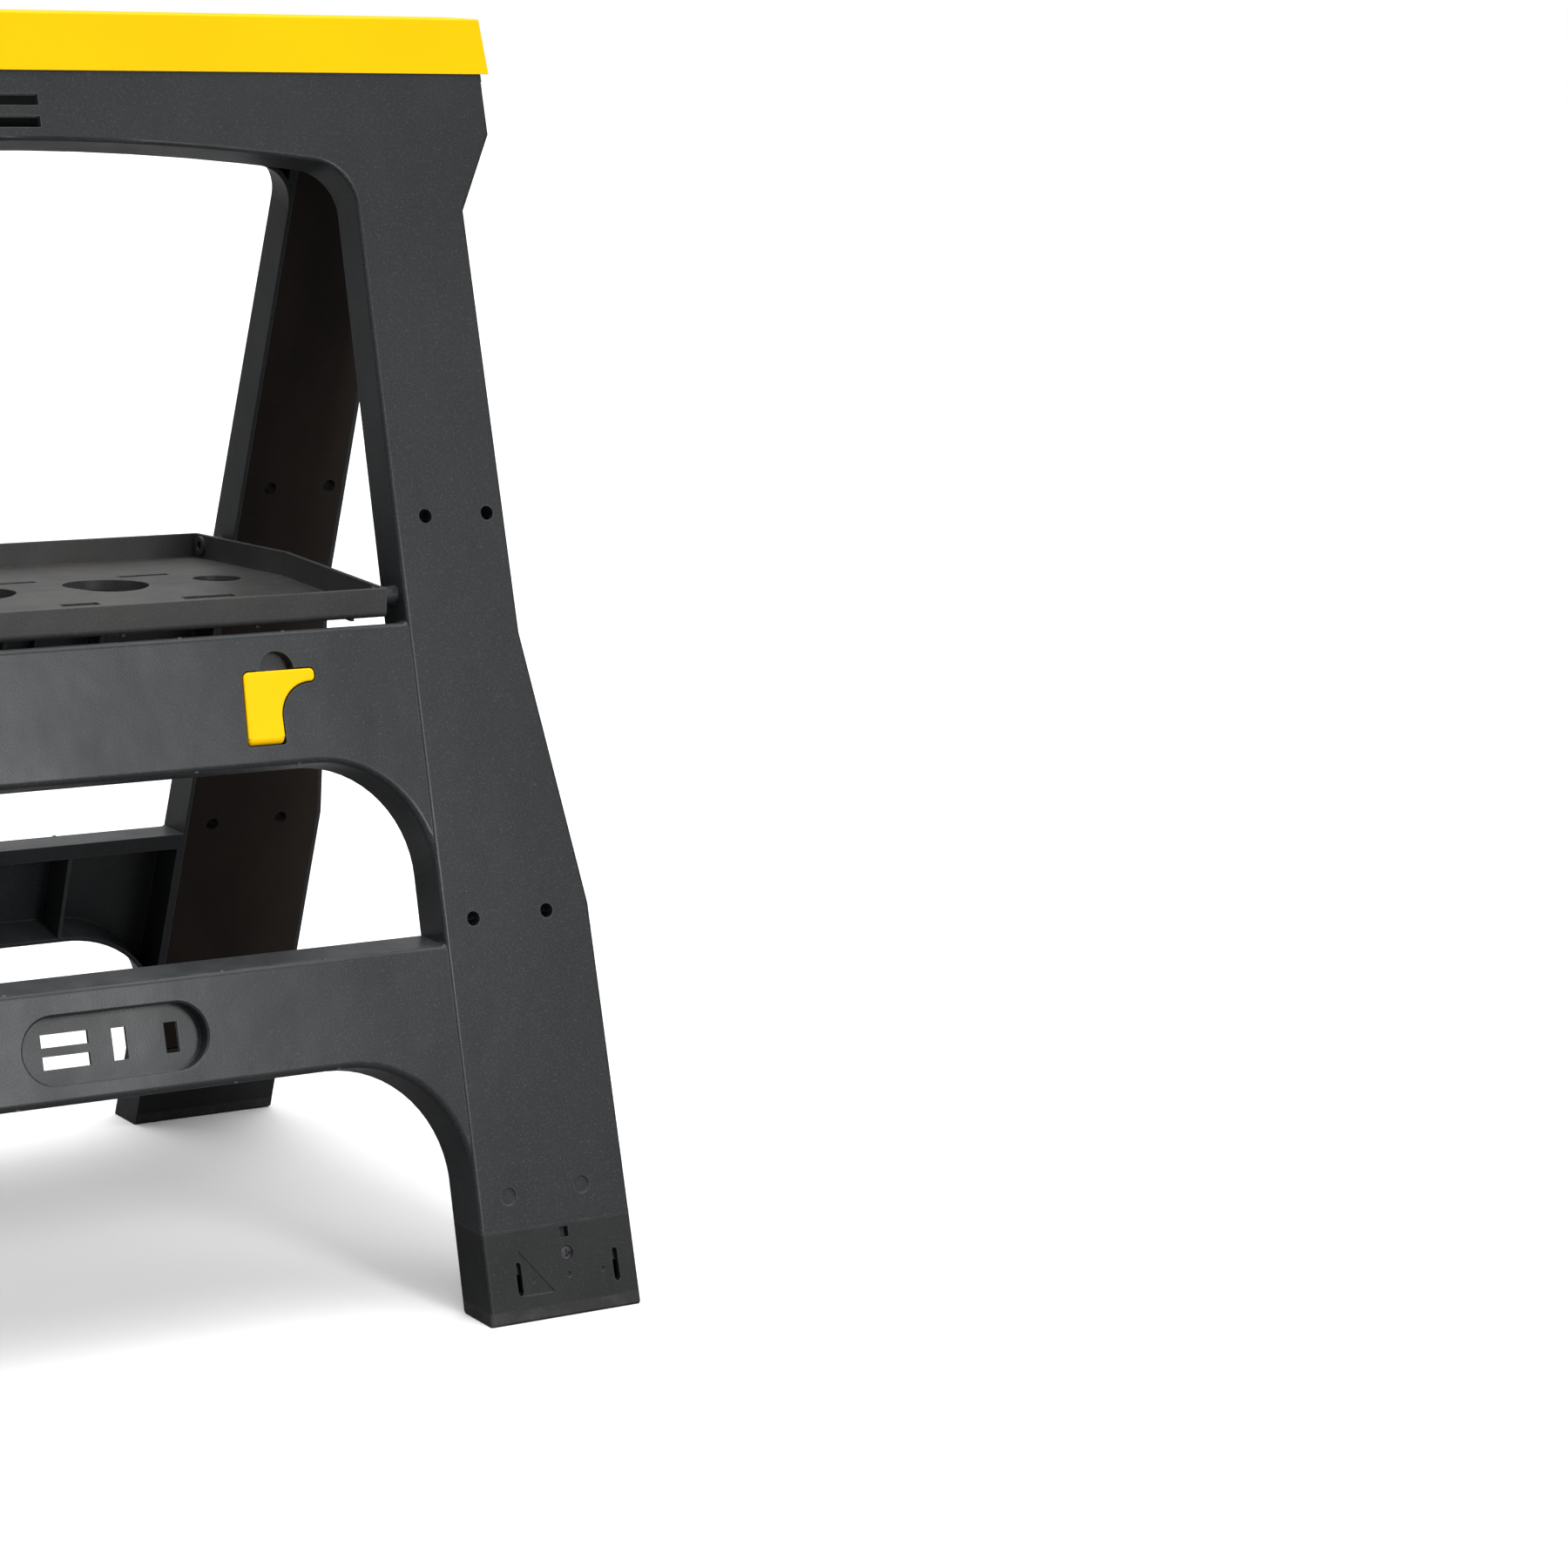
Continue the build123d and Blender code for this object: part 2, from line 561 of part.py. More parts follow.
def top_cap():
    """Half of the work surface: top, outer skirt, inner lip and two ends."""
    inside_x = BEAM_HALF + CAP_SEAT
    lip_y = -CAP_WALL
    channel = [
        (face_y(CAP_LOW_Z, CAP_PROUD), CAP_LOW_Z),
        (face_y(HEIGHT, CAP_PROUD), HEIGHT),
        (-CAP_SPLIT, HEIGHT),
        (-CAP_SPLIT, CAP_LIP_Z),
        (lip_y, CAP_LIP_Z),
        (lip_y, HEIGHT - CAP_WALL),
        (face_y(HEIGHT - CAP_WALL, CAP_SEAT - CAP_INSET), HEIGHT - CAP_WALL),
        (face_y(CAP_LOW_Z, CAP_SEAT - CAP_INSET), CAP_LOW_Z),
    ]
    end = [
        (face_y(CAP_LOW_Z, CAP_PROUD), CAP_LOW_Z),
        (face_y(HEIGHT, CAP_PROUD), HEIGHT),
        (-CAP_SPLIT, HEIGHT),
        (-CAP_SPLIT, HINGE_Z),
        (inner_y(CAP_LOW_Z), CAP_LOW_Z),
    ]
    low, high = CAP_LENGTH / 2, CAP_TOP_LENGTH / 2
    draft = [(low, CAP_LOW_Z), (low + 5, CAP_LOW_Z), (low + 5, HEIGHT), (high, HEIGHT)]
    draft = extrude(Plane.XZ * Polygon(*draft, align=None), amount=60, dir=(0, -1, 0))
    cap = slab(channel, -inside_x, inside_x) + mirrored(slab(end, inside_x, low) - draft)
    edges = cap.edges().filter_by(Axis.X).group_by(Axis.Z)[-1].sort_by(Axis.Y)
    cap = fillet(edges[0], CAP_EDGE_R)
    cap -= screw_holes(CAP_SCREW_R + FIT, HINGE_Z, HEIGHT + 1)
    head_r, head_depth = CAP_SCREW_HEAD
    for x in CAP_SCREW_X:
        sunk = Cone(CAP_SCREW_R + FIT, head_r + PLAY, head_depth + 0.4, align=HANGING)
        cap -= Pos(x, CAP_SCREW_Y, HEIGHT) * sunk
    return cap


def cap_screws():
    """Countersunk screws down through the cap into the frame's bosses."""
    head_r, head_depth = CAP_SCREW_HEAD
    screw = Cone(CAP_SCREW_R, head_r, head_depth, align=HANGING)
    screw += Cylinder(CAP_SCREW_R, CAP_SCREW_LENGTH, align=HANGING)
    length, width, depth = CAP_SCREW_DRIVE
    screw -= Box(length, width, depth, align=HANGING) + Box(width, length, depth, align=HANGING)
    screws = Part()
    for x in CAP_SCREW_X:
        screws += Pos(x, CAP_SCREW_Y, HEIGHT - CAP_SCREW_BELOW) * screw
    return screws


def foot():
    """Right foot, a cup that slips over the leg's tongue."""
    top = SEAM_Z - 0.2
    floor = SOLE_Z + FOOT_FLOOR
    body = [(face_y(SOLE_Z, 1), SOLE_Z), (face_y(top, 1), top)]
    body += [(inner_y(top), top), (inner_y(SOLE_Z), SOLE_Z)]
    hollow = [
        (face_y(floor, -FOOT_WALL), floor),
        (face_y(top + 1, -FOOT_WALL), top + 1),
        (inner_y(top + 1, FOOT_WALL), top + 1),
        (inner_y(floor, FOOT_WALL), floor),
    ]
    x_low = leg_edge(SEAM_Z)
    cup = sink_rounded(leg_strip(), 0) & slab(body, x_low - 5, LEG_HALF + 5)
    cup -= slab(hollow, x_low + FOOT_WALL, LEG_HALF - FOOT_WALL)
    cup -= sink(on_face(FOOT_SCREW) * Circle(FOOT_SCREW_HEAD_R + 0.5), -1, FOOT_SCREW_SUNK[1])
    cup -= sink(on_face(FOOT_SCREW) * Circle(FOOT_SCREW_R + FIT), -1, 10)
    return cup - foot_marks()


def foot_marks():
    """Slots and a window through the foot's face, dots and a shallow triangle in it."""
    through = FOOT_WALL + 1
    marks = sink(on_face(FOOT_WINDOW) * Rectangle(FOOT_WINDOW_SIDE, FOOT_WINDOW_SIDE), -1, through)
    for spot in FOOT_SLOTS:
        marks += sink(on_face(spot) * SlotOverall(*FOOT_SLOT, rotation=90), -1, through)
    radius, depth = FOOT_DOT
    for spot in FOOT_DOTS:
        marks += sink(on_face(spot) * Circle(radius), -1, depth)
    relief = [(x, up(z)) for x, z in FOOT_RELIEF]
    return marks + sink(Polygon(*relief, align=None), -1, FOOT_RELIEF_DEPTH)


def foot_screws():
    place = on_face(FOOT_SCREW)
    length, width = FOOT_SCREW_DRIVE
    head = sink(place * Circle(FOOT_SCREW_HEAD_R), *FOOT_SCREW_SUNK)
    shank = sink(place * Circle(FOOT_SCREW_R), FOOT_SCREW_SUNK[1] - 0.1, 16)
    drive = place * (Rectangle(length, width) + Rectangle(width, length))
    return mirrored(head + shank - sink(drive, 0, 1.6))


def sole():
    """Rubber sole under the right foot, chamfered where it meets the floor."""
    c = SOLE_CHAMFER
    outline = [
        (face_y(SOLE_Z), SOLE_Z),
        (face_y(c), c),
        (face_y(0) + c, 0),
        (inner_y(0) - c, 0),
        (inner_y(c), c),
        (inner_y(SOLE_Z), SOLE_Z),
    ]
    pad = sink_rounded(leg_strip(), 0) & slab(outline, leg_edge(0) - 5, LEG_HALF + 5)
    ends = pad.edges().filter_by(Axis.Y).group_by(Axis.Z)[0]
    return chamfer(ends, c * 0.9)


# ---------------------------------------------------------------- tray
def floor_z(y, drop=0.0):
    """Height of the tray floor at a Y, highest between the leaves."""
    return TRAY_FLOOR_Z + TRAY_PEAK * (1 - abs(y) / TRAY_EDGE_Y) - drop


def leaf_outline(closed):
    """Section of the front leaf: floor and outer wall, or the closed shape of an end wall."""
    inner = TRAY_EDGE_Y - TRAY_WALL
    outline = [
        (-TRAY_EDGE_Y, floor_z(TRAY_EDGE_Y, TRAY_WALL)),
        (-TRAY_EDGE_Y, TRAY_RIM_Z),
    ]
    if closed:
        outline.append((-TRAY_SPLIT, TRAY_RIM_Z + TRAY_PEAK))
    else:
        outline += [(-inner, TRAY_RIM_Z), (-inner + 0.5, floor_z(inner)), (-TRAY_SPLIT, floor_z(TRAY_SPLIT))]
    outline.append((-TRAY_SPLIT, floor_z(TRAY_SPLIT, TRAY_WALL)))
    section = Polygon(*outline, align=None)
    corner = section.vertices().sort_by(Axis.X).group_by(Axis.Y)[0]
    return fillet(corner, TRAY_CORNER_R)


def leaf_prism(closed, x_from, x_to):
    return extrude(Plane.YZ.offset(x_from) * leaf_outline(closed), amount=x_to - x_from, dir=(1, 0, 0))


def plain_leaf():
    """Front leaf without its holes: floor, outer wall, end walls, ribs, bosses and knuckles."""
    leaf = leaf_prism(False, -TRAY_HALF + 1, TRAY_HALF - 1)
    leaf += mirrored(leaf_prism(True, TRAY_HALF - TRAY_WALL, TRAY_HALF))
    rib_ends = (-TRAY_EDGE_Y + 10, -5.0)
    rib = [(y, floor_z(y, TRAY_WALL - 1)) for y in rib_ends]
    rib += [(y, floor_z(y, TRAY_WALL + TRAY_RIB_DROP)) for y in reversed(rib_ends)]
    for x in TRAY_STATIONS:
        middle = x - TRAY_KNUCKLE_LENGTH / 2
        leaf += slab(rib, middle - RIB / 2, middle + RIB / 2)
    pivot_y, pivot_z = TRAY_PIVOT
    boss_r, reach = TRAY_BOSS
    leaf += mirrored(rod(boss_r, TRAY_HALF - reach, TRAY_HALF - 1, pivot_y, pivot_z))
    eye_top = floor_z(TRAY_SPLIT, TRAY_WALL - 1)
    web = [
        (-TRAY_KNUCKLE_R, TRAY_MID_Z),
        (-TRAY_KNUCKLE_R - 3, eye_top - 0.3),
        (-TRAY_SPLIT, eye_top),
        (-TRAY_SPLIT, TRAY_MID_Z),
    ]
    for station in TRAY_STATIONS:
        low, high = station - TRAY_KNUCKLE_LENGTH, station - PLAY
        leaf += slab(web, low, high) + rod(TRAY_KNUCKLE_R, low, high, 0, TRAY_MID_Z)
    leaf -= rod(TRAY_MID_R + FIT, -TRAY_HALF + TRAY_WALL, TRAY_HALF - TRAY_WALL, 0, TRAY_MID_Z)
    return leaf - mirrored(rod(TRAY_PIVOT_R + FIT, TRAY_HALF - 9, TRAY_HALF + 1, pivot_y, pivot_z))


def upright(radius, x, y):
    """Round column through the tray's height."""
    return Pos(x, y, TRAY_RIM_Z) * Cylinder(radius, 60)


def with_holes(leaf, side):
    """Collared tool holes across the split, and slots; side is -1 for the front leaf, 1 for the back."""
    far_y = side * (TRAY_EDGE_Y - 10)
    near_y = side * TRAY_SPLIT
    under_floor = [
        (near_y, TRAY_COLLAR_Z),
        (near_y, floor_z(near_y, TRAY_WALL / 2)),
        (far_y, floor_z(far_y, TRAY_WALL / 2)),
        (far_y, TRAY_COLLAR_Z),
    ]
    under_floor = slab(under_floor, -TRAY_HALF, TRAY_HALF)
    for x, radius in TRAY_HOLES:
        leaf += upright(radius + 2.2, x, TRAY_HOLE_Y) & under_floor
    for x, radius in TRAY_HOLES:
        leaf -= upright(radius, x, TRAY_HOLE_Y)
    for x, length in TRAY_SLOTS:
        leaf -= Pos(x, side * TRAY_SLOT_Y, TRAY_FLOOR_Z) * Box(length, TRAY_SLOT_WIDTH, 20)
    return leaf


def tray_pins(reach):
    """Two short pins in the legs; reach is how far towards the middle they come."""
    y, z = TRAY_PIVOT
    return mirrored(rod(TRAY_PIVOT_R, reach, leg_edge(z) + 5, y, z))


def rod_clips(reach, rod_radius, outer_radius, z):
    """Retaining rings near both ends of a rod."""
    ring = rod(outer_radius, reach - 1.2, reach, 0, z) - rod(rod_radius + FIT, reach - 2, reach + 1, 0, z)
    return mirrored(ring)


# ---------------------------------------------------------------- write every node
def save(name, part):
    part.label = name
    export_step(part, f"parts/{name}.step")


def both_frames(name, part):
    save(f"front_{name}", part)
    save(f"back_{name}", to_back(part))


def left_and_right(name, part):
    """Left is -X and right is +X on both frames."""
    other = mirror(part, Plane.YZ)
    save(f"front_right_{name}", part)
    save(f"front_left_{name}", other)
    save(f"back_left_{name}", to_back(part))
    save(f"back_right_{name}", to_back(other))


both_frames("panel", frame_panel())
both_frames("top_cap", top_cap())
both_frames("cap_screws", cap_screws())
both_frames("foot_screws", foot_screws())
both_frames("hook_pins", mirrored(hook_pin()))
left_and_right("leg_cover", leg_cover())
left_and_right("foot", foot())
left_and_right("sole", sole())
left_and_right("cord_hook", cord_hook())

ROD_REACH = 326.0
MID_PIN_REACH = 214.0
save("hinge_rod", rod(HINGE_ROD_R, -ROD_REACH, ROD_REACH, 0, HINGE_Z))
save("hinge_rod_clips", rod_clips(ROD_REACH - 2, HINGE_ROD_R, 6.0, HINGE_Z))
save("tray_front_pivot_pins", tray_pins(TRAY_HALF - TRAY_BOSS[1]))
save("tray_back_pivot_pins", to_back(tray_pins(TRAY_HALF + 0.5)))
save("tray_mid_pin", rod(TRAY_MID_R, -MID_PIN_REACH, MID_PIN_REACH, 0, TRAY_MID_Z))
base_leaf = plain_leaf()
save("tray_front_leaf", with_holes(base_leaf, -1))
save("tray_back_leaf", with_holes(to_back(base_leaf), 1))
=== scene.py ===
"""Looks of the folding sawhorse: camera, studio, moulded plastics, steel and rubber."""
from math import cos, radians, sin

import bpy
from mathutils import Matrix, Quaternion, Vector

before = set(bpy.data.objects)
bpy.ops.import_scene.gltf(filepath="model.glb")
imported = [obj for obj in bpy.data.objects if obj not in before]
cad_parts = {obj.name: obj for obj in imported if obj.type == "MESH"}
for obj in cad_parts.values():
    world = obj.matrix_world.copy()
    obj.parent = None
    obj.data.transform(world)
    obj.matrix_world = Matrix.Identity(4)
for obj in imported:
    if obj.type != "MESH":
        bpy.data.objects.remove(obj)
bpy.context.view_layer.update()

# ---------------------------------------------------------------- camera, metres and degrees
CAMERA_PLACE = (-1.0528, -2.4175, 0.8448)
CAMERA_HEADING = 32.081  # from +Y towards +X
CAMERA_PITCH = -11.246
CAMERA_ROLL = 1.603
CAMERA_LENS = 95.99
CAMERA_SHIFT = 0.12


def new_object(name, data):
    """An object that holds the data, linked to the scene."""
    made = bpy.data.objects.new(name, data)
    bpy.context.scene.collection.objects.link(made)
    return made


def add_camera():
    heading, pitch = radians(CAMERA_HEADING), radians(CAMERA_PITCH)
    aim = Vector((sin(heading) * cos(pitch), cos(heading) * cos(pitch), sin(pitch)))
    camera = new_object("camera", bpy.data.cameras.new("camera"))
    camera.location = CAMERA_PLACE
    camera.rotation_mode = "QUATERNION"
    roll = Quaternion((0, 0, 1), radians(CAMERA_ROLL))
    camera.rotation_quaternion = aim.to_track_quat("-Z", "Y") @ roll
    camera.data.lens = CAMERA_LENS
    camera.data.shift_x = CAMERA_SHIFT
    bpy.context.scene.camera = camera


# ---------------------------------------------------------------- node helpers
BEVEL_SAMPLES = 4


def node(tree, kind, inputs=None, **settings):
    """A shader node with its settings, and its inputs as values or links."""
    made = tree.nodes.new("ShaderNode" + kind)
    for name, value in settings.items():
        setattr(made, name, value)
    for name, value in (inputs or {}).items():
        if isinstance(value, bpy.types.NodeSocket):
            tree.links.new(value, made.inputs[name])
        else:
            made.inputs[name].default_value = value
    return made


def place(tree, scale=(1, 1, 1), turn=(0, 0, 0)):
    """Position on the object at rest, in metres, scaled and turned."""
    spot = node(tree, "TexCoord").outputs["Object"]
    return node(tree, "Mapping", {"Vector": spot, "Scale": scale, "Rotation": turn}).outputs[0]


def noise(tree, where, scale, detail=2.0, rough=0.5):
    settings = {"Vector": where, "Scale": scale, "Detail": detail, "Roughness": rough}
    return node(tree, "TexNoise", settings).outputs[0]


def spread(tree, value, low, high, to_low=0.0, to_high=1.0):
    """The value's range from low to high, brought to another range and clamped."""
    settings = {"Value": value, 1: low, 2: high, 3: to_low, 4: to_high}
    return node(tree, "MapRange", settings).outputs[0]


def combine(tree, operation, first, second):
    return node(tree, "Math", {0: first, 1: second}, operation=operation).outputs[0]


def mix(tree, factor, low, high):
    made = node(tree, "Mix", {"Factor": factor, 6: low, 7: high}, data_type="RGBA")
    return made.outputs[2]


def rounded_normal(tree, radius):
    """Normal that rounds edges and corners of the CAD shape in the shading."""
    return node(tree, "Bevel", {"Radius": radius}, samples=BEVEL_SAMPLES).outputs[0]


def edge_wear_and_highlight(tree, radius):
    """1 along edges and corners, 0 on flat faces."""
    flat = node(tree, "NewGeometry").outputs["Normal"]
    inputs = {0: rounded_normal(tree, radius), 1: flat}
    match = node(tree, "VectorMath", inputs, operation="DOT_PRODUCT")
    return spread(tree, match.outputs["Value"], 0.99, 0.80)


def facing_up(tree):
    """1 on surfaces that lie level when the object stands open, 0 on leaning and upright ones."""
    normal = node(tree, "TexCoord").outputs["Normal"]
    rise = node(tree, "SeparateXYZ", {"Vector": normal}).outputs["Z"]
    return spread(tree, rise, 0.80, 0.98)


def bumped(tree, height, depth, below=None):
    settings = {"Height": height, "Distance": depth, "Strength": 1.0}
    if below is not None:
        settings["Normal"] = below
    return node(tree, "Bump", settings).outputs[0]


def rgb(red, green, blue):
    """Linear colour from the 0 to 255 values of a screen."""
    def linear(level):
        level /= 255
        return level / 12.92 if level <= 0.04045 else ((level + 0.055) / 1.055) ** 2.4
    return (linear(red), linear(green), linear(blue), 1.0)


def shaded(name, build, **sockets):
    """Material whose build function gives colour, roughness and normal; the rest is set directly."""
    made = bpy.data.materials.new(name)
    made.use_nodes = True
    tree = made.node_tree
    shader = tree.nodes["Principled BSDF"]
    colour, roughness, normal = build(tree)
    tree.links.new(colour, shader.inputs["Base Color"])
    tree.links.new(roughness, shader.inputs["Roughness"])
    tree.links.new(normal, shader.inputs["Normal"])
    for socket, value in sockets.items():
        shader.inputs[socket.replace("_", " ")].default_value = value
    return made


# ---------------------------------------------------------------- materials
# Scales count pattern cells in a metre, depths and radii are in metres.
CLOUD_SCALE = 7.0
FLOW_STRETCH = (14, 14, 2.2)
FLOW_LEAN = 32  # degrees
FLOW_SHARE = 0.8
SPECKLE_SCALE = 900.0
PATCH_NOISE_SCALE = 55.0
LEATHER_SCALE, LEATHER_DEPTH = 1100.0, 0.00003
RIPPLE_SCALE, RIPPLE_DEPTH = 22.0, 0.0006
MOULDED_ROUNDING = 0.0006
# Edge lightening, part rubbing and part painted highlight: its width and its share.
EDGE_LIGHTENING_RADIUS, EDGE_LIGHTENING_SHARE = 0.0014, 0.55

# name: darker colour, lighter colour, pale colour (flecks, dust and painted top light on level tops,
# edges lightened by rubbing and painted highlight), roughness, specular level
MOULDED_PLASTICS = {
    "charcoal_plastic": (rgb(25, 28, 31), rgb(40, 42, 44), rgb(100, 102, 104), 0.37, 0.35),
    # foot_plastic is darker than the charcoal, partly as painted shade for the back foot's shaded
    # inner face; it darkens every foot.
    "foot_plastic": (rgb(21, 23, 24), rgb(34, 35, 35), rgb(82, 82, 80), 0.46, 0.30),
    "tray_plastic": (rgb(36, 36, 37), rgb(54, 53, 52), rgb(100, 98, 96), 0.40, 0.40),
    "black_plastic": (rgb(33, 27, 24), rgb(44, 36, 32), rgb(62, 56, 52), 0.66, 0.15),
}
# name: tarnished colour, clean colour, roughness
STEELS = {
    "dark_steel": (rgb(40, 40, 42), rgb(92, 92, 95), 0.34),
    "bright_steel": (rgb(150, 146, 138), rgb(205, 205, 205), 0.22),
}


def moulded(name, dark, light, pale_colour, gloss, specular):
    """Moulded plastic: cloudy colour, faint flow lines, leather grain, level tops paler in patches
    from dust and painted top light, paler edges from rubbing and painted highlight.
    """
    def build(tree):
        clouds = noise(tree, place(tree), CLOUD_SCALE, 4.0, 0.6)
        flow = place(tree, FLOW_STRETCH, (0, radians(FLOW_LEAN), 0))
        streaks = combine(tree, "MULTIPLY", noise(tree, flow, 1.0, 3.0, 0.55), FLOW_SHARE)
        tone = combine(tree, "ADD", clouds, streaks)
        speckle = noise(tree, place(tree), SPECKLE_SCALE)
        colour = mix(tree, spread(tree, tone, 0.70, 1.10), dark, light)
        colour = mix(tree, spread(tree, speckle, 0.55, 0.80, 0.0, 0.26), colour, pale_colour)
        patch_noise = noise(tree, place(tree), PATCH_NOISE_SCALE, 5.0, 0.7)
        # Level tops lightened toward the pale colour in patches: part dust, part painted top light.
        patchy_top_share = spread(tree, patch_noise, 0.25, 0.75, 0.05, 0.32)
        dust = combine(tree, "MULTIPLY", facing_up(tree), patchy_top_share)
        colour = mix(tree, dust, colour, pale_colour)
        # Edges lightened toward the pale colour in patches: part rubbing, part painted highlight.
        edge_patches = spread(tree, patch_noise, 0.30, 0.62, 0.25, 1.0)
        wear_and_highlight = combine(tree, "MULTIPLY", edge_wear_and_highlight(tree, EDGE_LIGHTENING_RADIUS), edge_patches)
        colour = mix(tree, combine(tree, "MULTIPLY", wear_and_highlight, EDGE_LIGHTENING_SHARE), colour, pale_colour)
        rough = spread(tree, tone, 0.7, 1.1, gloss + 0.07, gloss - 0.06)
        rough = combine(tree, "ADD", rough, spread(tree, speckle, 0.3, 0.7, -0.02, 0.04))
        leather = node(tree, "TexVoronoi", {"Vector": place(tree), "Scale": LEATHER_SCALE})
        rounded = rounded_normal(tree, MOULDED_ROUNDING)
        normal = bumped(tree, leather.outputs["Distance"], LEATHER_DEPTH, rounded)
        ripple = noise(tree, place(tree), RIPPLE_SCALE)
        return colour, rough, bumped(tree, ripple, RIPPLE_DEPTH, normal)
    return shaded(name, build, Specular_IOR_Level=specular)


def yellow_plastic():
    """Bright yellow plastic: fine grain, slightly deeper in patches, paler edges from rubbing and
    painted highlight.
    """
    def build(tree):
        clouds = noise(tree, place(tree), 6.0, 3.0)
        speckle = noise(tree, place(tree), 1400.0)
        colour = mix(tree, spread(tree, clouds, 0.3, 0.7), rgb(252, 190, 0), rgb(254, 198, 0))
        patch_noise = noise(tree, place(tree, (3, 40, 40)), 3.0, 5.0, 0.7)
        edge_patches = spread(tree, patch_noise, 0.35, 0.6, 0.1, 1.0)
        # Paler edges in patches: part rubbing, part painted highlight.
        wear_and_highlight = combine(tree, "MULTIPLY", edge_wear_and_highlight(tree, 0.0012), edge_patches)
        colour = mix(tree, combine(tree, "MULTIPLY", wear_and_highlight, 0.30), colour, rgb(255, 226, 90))
        rough = spread(tree, combine(tree, "ADD", clouds, speckle), 0.7, 1.3, 0.50, 0.40)
        normal = bumped(tree, speckle, 0.00003, rounded_normal(tree, 0.0007))
        return colour, rough, normal
    sockets = {"Specular_IOR_Level": 0.08, "Subsurface_Weight": 0.03, "Subsurface_Scale": 0.002}
    return shaded("yellow_plastic", build, **sockets)


def sole_rubber():
    """Matt black rubber with fine moulded lines and dust."""
    def build(tree):
        dust = noise(tree, place(tree), 60.0, 6.0, 0.7)
        colour = mix(tree, spread(tree, dust, 0.45, 0.75), rgb(30, 30, 31), rgb(62, 60, 57))
        rough = spread(tree, dust, 0.3, 0.8, 0.72, 0.90)
        wave = {"Vector": place(tree), "Scale": 180.0, "Distortion": 0.3}
        lines = node(tree, "TexWave", wave).outputs["Fac"]
        grain = noise(tree, place(tree), 1500.0)
        normal = bumped(tree, lines, 0.00012, rounded_normal(tree, 0.0005))
        return colour, rough, bumped(tree, grain, 0.00004, normal)
    return shaded("sole_rubber", build, IOR=1.5)


def steel(name, dark, light, gloss):
    """Plated steel, brushed round the part, with a little tarnish."""
    def build(tree):
        tarnish = noise(tree, place(tree), 140.0, 4.0)
        brushed = noise(tree, place(tree, (40, 900, 900)), 4.0)
        colour = mix(tree, spread(tree, tarnish, 0.35, 0.7), light, dark)
        sum_of_both = combine(tree, "ADD", tarnish, brushed)
        rough = spread(tree, sum_of_both, 0.7, 1.4, gloss, gloss + 0.18)
        return colour, rough, bumped(tree, brushed, 0.00001, rounded_normal(tree, 0.0003))
    return shaded(name, build, Metallic=1.0)


def paint_nodes():
    """Every CAD node gets the material of its slot in the record."""
    made = {name: moulded(name, *look) for name, look in MOULDED_PLASTICS.items()}
    made["yellow_plastic"] = yellow_plastic()
    made["sole_rubber"] = sole_rubber()
    made.update({name: steel(name, *look) for name, look in STEELS.items()})
    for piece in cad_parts.values():
        slot = piece.data.materials[0].name.split(".")[0]
        piece.data.materials.clear()
        piece.data.materials.append(made[slot])


# ---------------------------------------------------------------- floor and light
FLOOR_HALF = 20.0
FLOOR_PALE = (0.92, 0.92, 0.92, 1.0)
FLOOR_BOUNCE = (0.20, 0.20, 0.20, 1.0)  # what it throws back on the object
WHITE = (1.0, 1.0, 1.0, 1.0)
HORIZON_LIGHT = 0.16
ZENITH_LIGHT = 1.0
ZENITH_RISE = 0.8  # the room is at its brightest from this height of its unit sphere up
TOP_LIGHT = 2.6
TOP_SPREAD = 70  # degrees
SOFTBOX_PLACE = (0.40, -1.60, 0.80)
SOFTBOX_AIM = (0.0, -0.15, 0.40)
SOFTBOX_SIZE = (0.30, 0.60)
SOFTBOX_POWER = 12.0


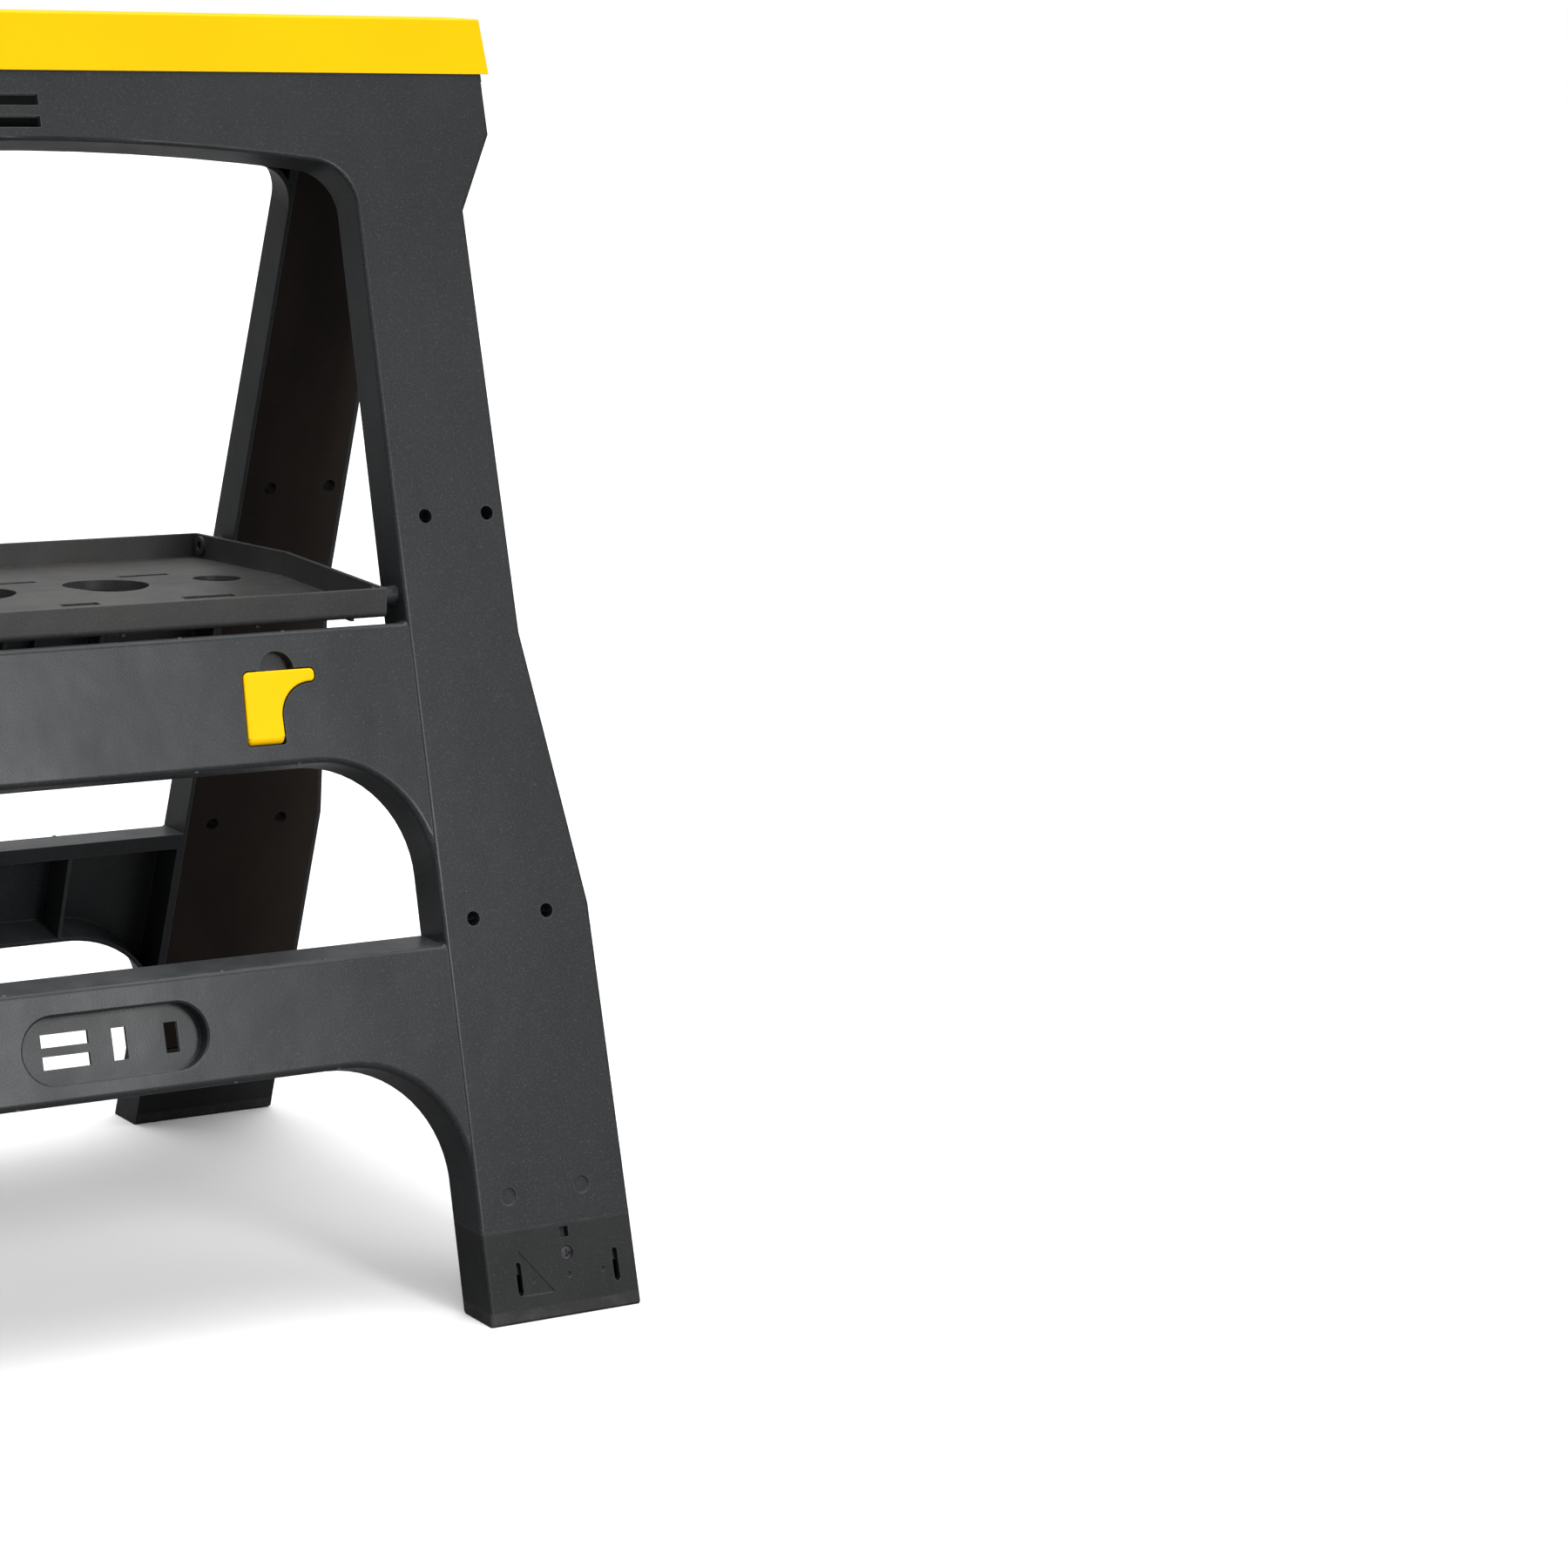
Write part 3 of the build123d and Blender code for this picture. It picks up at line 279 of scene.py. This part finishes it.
def add_floor():
    mesh = bpy.data.meshes.new("floor")
    signs = ((-1, -1), (1, -1), (1, 1), (-1, 1))
    mesh.from_pydata([(x * FLOOR_HALF, y * FLOOR_HALF, 0) for x, y in signs], [], [(0, 1, 2, 3)])
    floor = new_object("floor", mesh)

    def build(tree):
        cloud = noise(tree, place(tree), 1.5, 3.0)
        seen = node(tree, "LightPath").outputs["Is Camera Ray"]
        colour = mix(tree, seen, FLOOR_BOUNCE, FLOOR_PALE)
        rough = spread(tree, cloud, 0.0, 1.0, 0.80, 0.90)
        return colour, rough, bumped(tree, noise(tree, place(tree), 400.0), 0.00002)
    mesh.materials.append(shaded("floor_paper", build))


def add_room():
    """Room that is bright above and dim round the sides, and plain white to the camera."""
    world = bpy.data.worlds.new("studio")
    bpy.context.scene.world = world
    world.use_nodes = True
    tree = world.node_tree
    seen = node(tree, "LightPath").outputs["Is Camera Ray"]
    direction = node(tree, "TexCoord").outputs["Generated"]
    rise = node(tree, "SeparateXYZ", {"Vector": direction}).outputs["Z"]
    sky = spread(tree, rise, 0.0, ZENITH_RISE, HORIZON_LIGHT, ZENITH_LIGHT)
    strength = spread(tree, seen, 0.0, 1.0, sky, 1.0)
    tree.links.new(strength, tree.nodes["Background"].inputs["Strength"])
    tree.nodes["Background"].inputs["Color"].default_value = WHITE


def add_top_light():
    sun = bpy.data.lights.new("top_light", "SUN")
    sun.energy = TOP_LIGHT
    sun.angle = radians(TOP_SPREAD)
    new_object("top_light", sun)


def add_softbox():
    lamp = bpy.data.lights.new("front_softbox", "AREA")
    lamp.shape = "RECTANGLE"
    lamp.size, lamp.size_y = SOFTBOX_SIZE
    lamp.energy = SOFTBOX_POWER
    light = new_object("front_softbox", lamp)
    light.location = SOFTBOX_PLACE
    light.rotation_mode = "QUATERNION"
    aim = Vector(SOFTBOX_AIM) - Vector(SOFTBOX_PLACE)
    light.rotation_quaternion = aim.to_track_quat("-Z", "Y")


# ---------------------------------------------------------------- build
add_camera()
add_floor()
add_room()
add_top_light()
add_softbox()
bpy.context.scene.view_settings.view_transform = "Standard"
paint_nodes()
